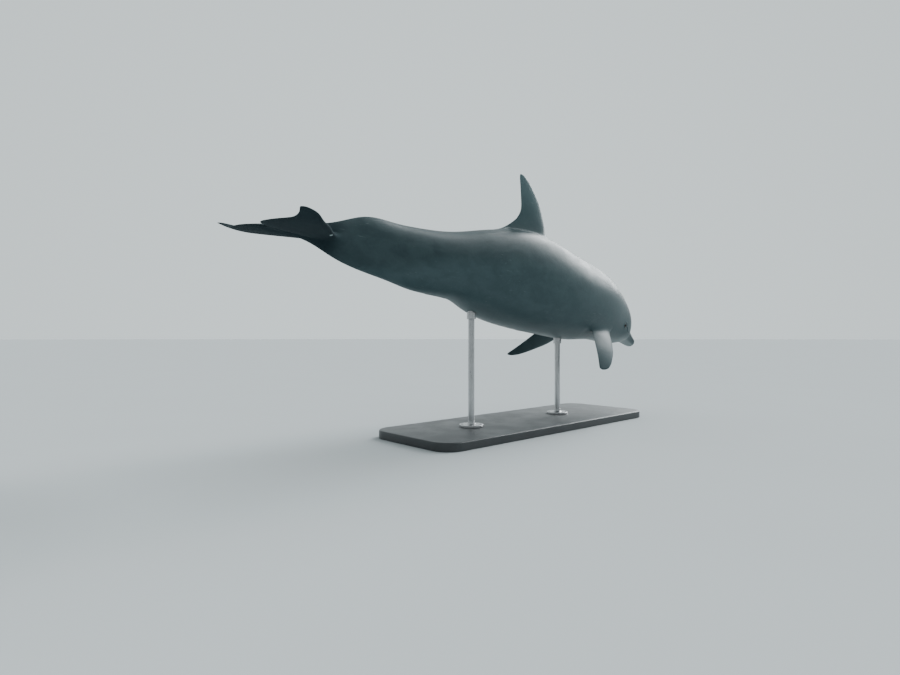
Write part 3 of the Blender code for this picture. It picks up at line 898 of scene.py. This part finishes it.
class Nodes:
    """A short way to write the nodes of a material or of the backdrop."""

    def __init__(self, name, kind=bpy.data.materials, shader="Principled BSDF"):
        self.owner = kind.new(name)
        self.owner.use_nodes = True
        self.tree = self.owner.node_tree
        self.shader = self.tree.nodes[shader]

    def node(self, kind, inputs=None, **settings):
        made = self.tree.nodes.new(kind)
        for key, value in settings.items():
            setattr(made, key, value)
        for key, value in (inputs or {}).items():
            self.put(made.inputs[key], value)
        return made

    def put(self, socket, value):
        if isinstance(value, bpy.types.NodeSocket):
            self.tree.links.new(value, socket)
        elif isinstance(value, tuple) and socket.type == "RGBA":
            socket.default_value = (*value, 1)
        else:
            socket.default_value = value

    def math(self, operation, *values):
        inputs = dict(enumerate(values))
        return self.node("ShaderNodeMath", inputs, operation=operation).outputs[0]

    def reach(self, across, up):
        squares = self.math("POWER", across, 2.0), self.math("POWER", up, 2.0)
        return self.math("SQRT", self.math("ADD", *squares))

    def scaled(self, vector, scale):
        return self.node("ShaderNodeMapping", {"Vector": vector, "Scale": scale}).outputs[0]

    def noise(self, vector, scale, detail=3.0, rough=0.5, twist=0.0):
        shape = {"Scale": scale, "Detail": detail, "Roughness": rough, "Distortion": twist}
        return self.node("ShaderNodeTexNoise", {"Vector": vector, **shape}).outputs["Fac"]

    def ramp(self, value, low, high, start=0.0, end=1.0):
        ends = {"From Min": low, "From Max": high, "To Min": start, "To Max": end}
        inputs = {"Value": value, **ends}
        return self.node("ShaderNodeMapRange", inputs, interpolation_type="SMOOTHSTEP").outputs[0]

    def mix(self, share, one, other, blend="MIX"):
        inputs = {"Factor": share, "A": one, "B": other}
        node = self.node("ShaderNodeMix", inputs, data_type="RGBA", blend_type=blend)
        return node.outputs["Result"]

    def place(self, kind="Object"):
        return self.node("ShaderNodeTexCoord").outputs[kind]

    def attribute(self, name, output="Vector"):
        return self.node("ShaderNodeAttribute", attribute_name=name).outputs[output]

    def split(self, vector):
        return self.node("ShaderNodeSeparateXYZ", {"Vector": vector}).outputs

    def bump(self, height, distance, strength=1.0, under=None):
        inputs = {"Height": height, "Distance": distance, "Strength": strength}
        if under is not None:
            inputs["Normal"] = under
        return self.node("ShaderNodeBump", inputs).outputs[0]

    def finish(self, **sockets):
        for key, value in sockets.items():
            self.put(self.shader.inputs[key.replace("_", " ")], value)
        return self.owner


# Colours of the skin
FLANK = (0.049, 0.080, 0.088)
CAPE = (0.031, 0.053, 0.059)
BELLY_SIDE = (0.090, 0.121, 0.128)  # between the flank and the belly
BELLY = (0.190, 0.225, 0.230)
MOTTLING = (0.12, 0.16, 0.16)
DARK_FINS = ((0.011, 0.021, 0.026), (0.017, 0.030, 0.035))
# Painted light: the dorsal fin paler than the flank towards its tip, as if lit through from behind
DORSAL_PAINTED_BACKLIGHT = (0.105, 0.156, 0.165)
GRAIN = (0.45, 0.47, 0.48)
SCRATCHES = (0.24, 0.29, 0.29)
# Painted shade in the mouth line, the blowhole and the slits, and darker round the eyes
CREASE_SHADE = (0.012, 0.015, 0.017)
PALE_SPOT_COLOUR = (0.42, 0.50, 0.50)


def skin_material():
    n = Nodes("dolphin_skin")
    rest = n.attribute("rest")
    above_cape, into_belly, fin = n.split(n.attribute("mark"))
    shade_and_spot = n.attribute("shade_and_spot", "Fac")
    broad = n.noise(rest, 4.5, 3.0)
    medium = n.noise(n.scaled(rest, (0.6, 1, 1)), 17.0, 4.0, 0.55, 0.4)
    fine = n.noise(rest, 90.0, 4.0, 0.6)
    drift = n.math("MULTIPLY", n.math("SUBTRACT", broad, 0.5), 0.24)
    cape = n.ramp(n.math("ADD", above_cape, drift), -0.30, 0.35)
    into_belly = n.math("ADD", into_belly, drift)
    colour = n.mix(cape, FLANK, CAPE)
    colour = n.mix(n.ramp(into_belly, -0.12, 0.14), colour, BELLY_SIDE)
    colour = n.mix(n.ramp(into_belly, 0.08, 0.36), colour, BELLY)
    colour = n.mix(n.ramp(medium, 0.36, 0.66, 0.0, 0.10), colour, MOTTLING, "SCREEN")
    dark = n.mix(n.ramp(medium, 0.3, 0.7), *DARK_FINS)
    colour = n.mix(n.ramp(fin, 0.0, 0.8), colour, dark)
    # Painted light: the dorsal fin turns paler outwards, as if lit through from behind
    colour = n.mix(n.ramp(fin, 0.0, -1.0), colour, DORSAL_PAINTED_BACKLIGHT)
    # Fine grain and pale scratches along the body
    colour = n.mix(n.ramp(fine, 0.3, 0.75, 0.14, 0.0), colour, GRAIN, "MULTIPLY")
    rakes = n.noise(n.scaled(rest, (2.2, 46, 38)), 4.0, 2.0, 0.5, 0.25)
    where = n.noise(rest, 6.0, 2.0)
    marks = n.math("MULTIPLY", n.ramp(rakes, 0.66, 0.71), n.ramp(where, 0.54, 0.64))
    colour = n.mix(n.math("MULTIPLY", marks, 0.16), colour, SCRATCHES)
    # Painted shade in the mouth line, the blowhole and the slits, and darker round the eyes
    colour = n.mix(n.math("MULTIPLY", shade_and_spot, 0.85), colour, CREASE_SHADE)
    # A small pale spot under the root of the right fluke
    colour = n.mix(n.ramp(shade_and_spot, -0.2, -1.0), colour, PALE_SPOT_COLOUR)
    rough = n.math("ADD", n.ramp(medium, 0.3, 0.7, 0.36, 0.46), n.ramp(fin, 0.1, 0.5, 0.0, 0.55))
    pores = n.bump(n.noise(rest, 420.0, 2.0, 0.5), 0.0006, 0.25)
    soft = n.bump(n.noise(n.scaled(rest, (1, 0.8, 0.8)), 34.0, 3.0, 0.5), 0.002, 0.16, pores)
    lines = n.bump(marks, 0.0006, 0.3, soft)
    return n.finish(Base_Color=colour, Roughness=rough, Normal=lines, Specular_IOR_Level=0.12)


def eye_material():
    """A dark brown iris with a wide pupil, both seen through a wet cornea."""
    n = Nodes("eye_wet")
    across, up, _ = n.split(n.attribute("iris"))
    away = n.reach(n.math("MULTIPLY", across, 1.25), n.math("MULTIPLY", up, 2.0))
    ring = n.reach(across, up)
    fibres = n.noise(n.attribute("iris"), 14.0, 4.0, 0.6, 1.2)
    iris = n.mix(n.ramp(fibres, 0.3, 0.7), (0.010, 0.006, 0.004), (0.026, 0.015, 0.009))
    colour = n.mix(n.ramp(away, 0.44, 0.52), (0.003, 0.003, 0.004), iris)
    colour = n.mix(n.ramp(ring, 0.60, 0.70), colour, (0.020, 0.012, 0.010))
    rough = n.ramp(fibres, 0.2, 0.8, 0.12, 0.20)
    return n.finish(Base_Color=colour, Roughness=rough, Specular_IOR_Level=0.22)


def board_material():
    """Satin charcoal paint on a board, with a faint orange peel and dust."""
    n = Nodes("painted_board")
    place = n.place()
    peel = n.noise(place, 260.0, 2.0)
    cloud = n.noise(place, 7.0, 4.0, 0.6)
    specks = n.ramp(n.noise(place, 900.0, 1.0), 0.70, 0.76)
    colour = n.mix(n.ramp(cloud, 0.3, 0.7), (0.030, 0.033, 0.036), (0.044, 0.048, 0.051))
    colour = n.mix(n.math("MULTIPLY", specks, 0.25), colour, (0.25, 0.25, 0.24))
    return n.finish(
        Base_Color=colour,
        Roughness=n.ramp(cloud, 0.3, 0.7, 0.38, 0.52),
        Normal=n.bump(peel, 0.0004, 0.35),
    )


def steel_material(name, grain, dark=1.0):
    """Brushed steel; grain stretches the brush marks."""
    n = Nodes(name)
    place = n.place()
    brush = n.noise(n.scaled(place, grain), 1.0, 4.0, 0.65)
    cloud = n.noise(place, 9.0, 3.0)
    low, high = 0.36 * dark, 0.60 * dark
    colour = n.mix(brush, (low, low, low * 1.02), (high, high, high * 1.02))
    colour = n.mix(n.ramp(cloud, 0.35, 0.7, 0.0, 0.18), colour, (0.30, 0.29, 0.27))
    return n.finish(
        Base_Color=colour,
        Metallic=1.0,
        Roughness=n.ramp(brush, 0.3, 0.7, 0.24, 0.40),
        Normal=n.bump(brush, 0.0003, 0.3),
    )


def floor_material():
    """Pale matt paint."""
    n = Nodes("pale_floor")
    cloud = n.noise(n.place(), 1.5, 3.0)
    colour = n.mix(cloud, (0.525, 0.553, 0.563), (0.505, 0.532, 0.542))
    return n.finish(Base_Color=colour, Roughness=0.9, Specular_IOR_Level=0.0)


# ---------------- pieces


def new_object(name, data):
    made = bpy.data.objects.new(name, data)
    bpy.context.scene.collection.objects.link(made)
    return made


def new_piece(name, mesh, material, *nodes, slot):
    piece = new_object(name, mesh)
    mesh.materials.append(material)
    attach(piece, "root")
    if nodes:
        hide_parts(*nodes)
    return piece


def finish_mesh(mesh, sharp=None):
    """Turns the faces outwards and smooths them, except over edges sharper than so many degrees."""
    shape = bmesh.new()
    shape.from_mesh(mesh)
    bmesh.ops.recalc_face_normals(shape, faces=shape.faces)
    shape.to_mesh(mesh)
    shape.free()
    mesh.polygons.foreach_set("use_smooth", [True] * len(mesh.polygons))
    if sharp is not None:
        mesh.set_sharp_from_angle(angle=math.radians(sharp))


# Edges of the dark cape and of the pale belly: fractions of LENGTH, and of the body's height
CAPE_EDGE = (
    (0.00, 0.04, 0.10, 0.14, 0.20, 0.30, 0.40, 0.48, 0.56, 0.64, 0.72, 0.80, 0.88),
    (0.00, 0.10, 0.30, 0.45, 0.60, 0.70, 0.62, 0.50, 0.42, 0.20, -0.15, -0.7, -1.4),
)
BELLY_EDGE = (
    (0.00, 0.05, 0.10, 0.13, 0.20, 0.30, 0.45, 0.60, 0.70, 0.80),
    (-0.35, -0.45, -0.40, -0.55, -0.68, -0.76, -0.82, -0.84, -0.95, -1.4),
)
# How dark the fins get outwards, and the tail's end; below 0 is paler than the flank, which on the
# dorsal fin is painted light, as if lit through from behind
FLUKE_SHADE = 1.0
FLIPPER_SHADE = 0.45
DORSAL_BACKLIGHT_SHADE = -1.0
TAIL_SHADE = 0.8
TAIL_DARKENS = (2.08, 0.26)  # s where it starts to darken, and over how far
PALE_SPOT = (2.278, -0.088)  # s and y, under the root of the right fluke


def mark_values(points, outward):
    """Height above the cape's edge, height into the pale belly, and darkness of the fins; on the
    dorsal fin that is negative, for painted light that makes it paler.
    """
    s = points[:, 0]
    share = s / LENGTH
    back, belly, _ = (np.maximum(a, b) for a, b in zip(trunk_sizes(s), beak_sizes(s)))
    z = points[:, 2] - sections_middle(s)
    height = z / np.maximum(np.where(z > 0, back, belly), 0.004)
    height = np.where(outward > 0, np.clip(height, -0.5, 0.3), height)
    cape = np.interp(share, *CAPE_EDGE)
    pale = np.interp(share, *BELLY_EDGE)
    shade = np.select([s > 2, points[:, 2] < 0], [FLUKE_SHADE, FLIPPER_SHADE], DORSAL_BACKLIGHT_SHADE)
    tail = TAIL_SHADE * smooth(s, *TAIL_DARKENS)
    fin = np.where(tail > 0, np.maximum(outward * shade, tail), outward * shade)
    return np.stack([height - cape, pale - height, fin], axis=1)


def shade_and_spot_values(points):
    """Painted shade in the mouth line, the blowhole and the slits, and darker round the eyes;
    negative on the pale spot.
    """
    s, y, z = points.T
    beside = np.abs(y)
    line = np.abs(z - mouth_height(s))
    dark = bump(line, 0.0017) * (1 - smooth(s, MOUTH_CORNER - 0.004, 0.01)) * (s < 0.31)
    eye = np.linalg.norm(np.stack([s, beside, z], axis=1) - EYE_CENTRE, axis=1)
    reach = np.sqrt(np.maximum(eye**2 - EYE_SUNK**2, 0))
    dark = np.maximum(dark, 0.55 * (1 - smooth(reach, 0.010, 0.016)))
    top = body_section(BLOWHOLE_S, np.pi / 2)
    dark = np.maximum(dark, bump(from_blowhole(s, beside), 0.0020) * (z > top[2] - 0.03))
    for middle, half, wide in SLITS.values():
        away = from_slit(s - middle, beside, half)
        dark = np.maximum(dark, bump(away, wide * 1.3) * (z < -0.05))
    return dark - 1.4 * bump(np.hypot(s - PALE_SPOT[0], y - PALE_SPOT[1]), 0.006) * (z < 0)


def skin_piece():
    skin = build_skin()
    relax(skin, RELAX_ROUNDS)
    mesh = bpy.data.meshes.new("dolphin_skin")
    mesh.from_pydata(pose(skin.points), [], skin.faces)
    uv = mesh.uv_layers.new(name="OFBake")
    uv.data.foreach_set("uv", np.array(skin.corners, np.float32).ravel())
    for name, kind, values in (
        ("rest", "FLOAT_VECTOR", skin.points),
        ("mark", "FLOAT_VECTOR", mark_values(skin.points, skin.outward)),
        ("shade_and_spot", "FLOAT", shade_and_spot_values(skin.points)),
    ):
        layer = mesh.attributes.new(name, kind, "POINT")
        key = "vector" if kind == "FLOAT_VECTOR" else "value"
        layer.data.foreach_set(key, np.asarray(values, np.float32).ravel())
    finish_mesh(mesh)
    flesh = [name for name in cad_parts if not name.startswith(("stand_", "eye_"))]
    return new_piece("dolphin_skin", mesh, skin_material(), *flesh, slot="skin_dark")


def eye_piece(side, label, material):
    """An eyeball with a slightly raised cornea; iris says how far back, up and out a point is."""
    shape = bmesh.new()
    bmesh.ops.create_uvsphere(shape, u_segments=48, v_segments=32, radius=1)
    mesh = bpy.data.meshes.new("eyeball_" + label)
    shape.to_mesh(mesh)
    shape.free()
    local = np.array([v.co for v in mesh.vertices])
    out = unit(body_section(EYE_FOOT_S, EYE_FOOT_ANGLE) - EYE_CENTRE)
    along = unit(np.array([1.0, 0, 0]) - out * out[0])
    up = np.cross(out, along)
    up = up * np.sign(up[2])
    swell = EYE_RADIUS * (1 + CORNEA * smooth(local[:, 2:], 0.78, 0.2))
    places = (local[:, :1] * along + local[:, 1:2] * up + local[:, 2:] * out) * swell
    places = (places + EYE_CENTRE) * [1, side, 1]
    mesh.vertices.foreach_set("co", pose(places).ravel())
    layer = mesh.attributes.new("iris", "FLOAT_VECTOR", "POINT")
    layer.data.foreach_set("vector", local.astype(np.float32).ravel())
    finish_mesh(mesh)
    return new_piece("eyeball_" + label, mesh, material, "eye_" + label, slot="eye")


# ---------------- stand

BOARD_CORNER = 0.09
BOARD_EDGE = 0.006
BOARD_BEVEL = 0.0012  # of the lower edge
EDGE_ANGLE = 38  # degrees from which an edge is sharp
ROD_SUNK = 0.012  # how far the rod goes into the belly
COLLAR_SUNK = 0.006
COLLAR_DROP = 0.026  # from the belly down to the collar's lower edge
COLLAR_WALL = 0.0065
COLLAR_BEVEL = 0.0015
PLAY = 0.0002  # between the rod and what goes round it
FLARE = 0.010  # radius of the flange's flare up to its rod
SCREW_INSET = 0.013  # from the flange's edge


def full_turn(sides):
    return np.linspace(0, 2 * np.pi, sides, endpoint=False)


def quarter_turn(steps):
    return np.radians(np.linspace(0, 90, steps))


def arc(centre, radius, height, turn):
    """Points of a level arc; radius is one number, or one for each angle of turn."""
    x, y = centre[0] + radius * np.cos(turn), centre[1] + radius * np.sin(turn)
    return np.stack([x, y, 0 * turn + height], axis=1)


def ring_mesh(name, rings, sharp):
    """A closed shape through level rings of points from below, flat at both ends."""
    here = np.arange(len(rings[0]))
    after = np.roll(here, -1)
    faces = []
    for level in range(len(rings) - 1):
        low, high = level * len(here), (level + 1) * len(here)
        faces += np.stack([low + here, low + after, high + after, high + here], 1).tolist()
    faces += [here[::-1].tolist(), (high + here).tolist()]
    mesh = bpy.data.meshes.new(name)
    mesh.from_pydata(np.concatenate(rings), [], faces)
    finish_mesh(mesh, sharp)
    return mesh


def turned_piece(name, outline, centre, material, *nodes):
    """A steel piece turned round an upright axis, from (radius, height) points."""
    rings = [arc(centre, radius, height, full_turn(96)) for radius, height in outline]
    new_piece(name, ring_mesh(name, rings, EDGE_ANGLE), material, *nodes, slot="stand_steel")


def rounded(radius, bottom, top, edge, bevel=0.0004, steps=6):
    """Outline of a disc or rod whose upper edge is rounded and lower edge bevelled."""
    over = [
        (radius - edge + edge * math.cos(bend), top - edge + edge * math.sin(bend))
        for bend in quarter_turn(steps)
    ]
    return [(radius - bevel, bottom), (radius, bottom + bevel), *over]


def board_mesh():
    """A board with rounded corners and a rounded upper edge."""
    low, high = (np.array(corner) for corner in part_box("stand_base"))
    middle, size = (low + high) / 2, (high - low) / 2
    rings = []
    for radius, height in rounded(BOARD_CORNER, low[2], high[2], BOARD_EDGE, BOARD_BEVEL, 7):
        corners = []
        for quarter, way in enumerate(((1, 1), (-1, 1), (-1, -1), (1, -1))):
            centre = middle[:2] + np.array(way) * (size[:2] - BOARD_CORNER)
            turn = quarter_turn(17) + quarter * math.pi / 2
            corners.append(arc(centre, radius, height, turn))
        rings.append(np.concatenate(corners))
    return ring_mesh("stand_board", rings, EDGE_ANGLE)


def screw_mesh(name, centre, height):
    """A screw's low round head with a hexagonal socket."""
    turn = full_turn(48)
    hexagon = math.cos(math.pi / 6) / np.cos(np.mod(turn, math.pi / 3) - math.pi / 6)
    outline = (
        (0.0058, -0.0005),
        (0.0058, 0.0004),
        (0.0052, 0.0010),
        (0.0026 * hexagon, 0.0010),
        (0.0024 * hexagon, 0.0008),
        (0.0024 * hexagon, -0.0014),
    )
    rings = [arc(centre, radius, height + level, turn) for radius, level in outline]
    return ring_mesh(name, rings, 30)


def flange_outline(rod, wide, bottom, top):
    """A disc that flares up round its rod."""
    flare = [
        (rod + 0.002 + FLARE * (1 - math.sin(bend)), top + FLARE * (1 - math.cos(bend)))
        for bend in quarter_turn(7)
    ]
    lip = [(rod + 0.0015, top + 0.016), (rod + PLAY, top + 0.017)]
    return rounded(wide, bottom, top, 0.002) + flare + lip


def collar_outline(rod, bottom, top):
    """A short sleeve round a rod."""
    wide = rod + COLLAR_WALL
    foot = [(rod + PLAY, bottom), (wide - COLLAR_BEVEL, bottom), (wide, bottom + COLLAR_BEVEL)]
    return foot + rounded(wide, bottom, top, COLLAR_BEVEL)[2:]


def stand_pieces(skin):
    """The board, and each rod with its collar under the belly and its flange and screws."""
    steel = steel_material("rod_steel", (700, 700, 25))
    turned_steel = steel_material("turned_steel", (60, 60, 900))
    screw_steel = steel_material("screw_steel", (200, 200, 200), 0.6)
    new_piece("stand_board", board_mesh(), board_material(), "stand_base", slot="stand_paint")
    places = np.array([v.co for v in skin.data.vertices])
    for label in ("front", "rear"):
        low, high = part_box("stand_rod_" + label)
        centre = ((low.x + high.x) / 2, (low.y + high.y) / 2)
        radius = (high.x - low.x) / 2
        near = np.hypot(places[:, 0] - centre[0], places[:, 1] - centre[1]) < 0.022
        belly = places[near, 2].min()
        rod = rounded(radius, low.z, belly + ROD_SUNK, 0.001)
        turned_piece("rod_" + label, rod, centre, steel, "stand_rod_" + label)
        collar = collar_outline(radius, belly - COLLAR_DROP, belly + COLLAR_SUNK)
        turned_piece("collar_" + label, collar, centre, turned_steel)
        low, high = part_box("stand_flange_" + label)
        wide = (high.x - low.x) / 2
        flange = flange_outline(radius, wide, low.z, high.z)
        turned_piece("flange_" + label, flange, centre, turned_steel, "stand_flange_" + label)
        for number in range(4):
            turn = math.radians(45 + 90 * number)
            reach = wide - SCREW_INSET
            spot = centre[0] + reach * math.cos(turn), centre[1] + reach * math.sin(turn)
            name = f"screw_{label}_{number + 1}"
            new_piece(name, screw_mesh(name, spot, high.z), screw_steel, slot="stand_steel")


# ---------------- room, lights and camera

FLOOR_RADIUS = 150.0
FLOOR_HEIGHT = -0.0005  # just under the board


def build_stage():
    """A plain floor so wide that its far edge is lost in the backdrop."""
    rim = arc((0, 0), FLOOR_RADIUS, FLOOR_HEIGHT, full_turn(128))
    mesh = bpy.data.meshes.new("floor")
    mesh.from_pydata(rim, [], [list(range(len(rim)))])
    floor = new_object("floor", mesh)
    mesh.materials.append(floor_material())


CAMERA_YAW = 42.713  # from +Y towards +X
CAMERA_PLACE = (-2.1705, -1.8044, 0.44)
CAMERA_LENS = 22.4
LAMP_COLOUR = (0.93, 0.98, 1.0)
KEY_WIDTH = 40  # degrees across
BACKDROP_COLOUR = (0.88, 0.98, 1.0)
BACKDROP_BEHIND = 0.40  # its strength behind the camera
BACKDROP_AHEAD = 1.05


def build_camera():
    data = bpy.data.cameras.new("camera")
    data.sensor_width = 36
    data.lens = CAMERA_LENS
    data.clip_end = 2 * FLOOR_RADIUS
    camera = new_object("camera", data)
    camera.location = CAMERA_PLACE
    camera.rotation_euler = (math.pi / 2, 0, -math.radians(CAMERA_YAW))
    bpy.context.scene.camera = camera


def add_lamp(name, kind, way, strength):
    """A lamp that shines from the far end of way, seen from the middle of the animal."""
    data = bpy.data.lights.new(name, kind)
    data.energy = strength
    data.color = LAMP_COLOUR
    lamp = new_object(name, data)
    lamp.location = Vector((0, 0, PIVOT_HEIGHT)) + way
    lamp.rotation_euler = (-way).to_track_quat("-Z", "Y").to_euler()
    return data


def build_lights():
    """A broad light from above and ahead of the animal, a weak fill and a pale backdrop."""
    yaw = math.radians(CAMERA_YAW)
    forward = Vector((math.sin(yaw), math.cos(yaw), 0))
    right = Vector((math.cos(yaw), -math.sin(yaw), 0))
    up = Vector((0, 0, 1))
    key = add_lamp("key", "SUN", forward * 0.60 + right * 0.60 + up * 0.54, 5.0)
    key.angle = math.radians(KEY_WIDTH)
    fill = add_lamp("fill", "AREA", forward * -3.4 - right * 1.0 + up * 1.4, 6)
    fill.size = 2.5
    n = Nodes("room", bpy.data.worlds, "Background")
    ways = {0: n.place("Generated"), 1: forward}
    ahead = n.node("ShaderNodeVectorMath", ways, operation="DOT_PRODUCT").outputs["Value"]
    span = {"From Min": -1.0, "To Min": BACKDROP_BEHIND, "To Max": BACKDROP_AHEAD}
    strength = n.node("ShaderNodeMapRange", {"Value": ahead, **span}).outputs["Result"]
    bpy.context.scene.world = n.finish(Color=BACKDROP_COLOUR, Strength=strength)


def main():
    skin = skin_piece()
    wet = eye_material()
    for side, label in ((1, "left"), (-1, "right")):
        eye_piece(side, label, wet)
    stand_pieces(skin)
    build_stage()
    build_lights()
    build_camera()


main()
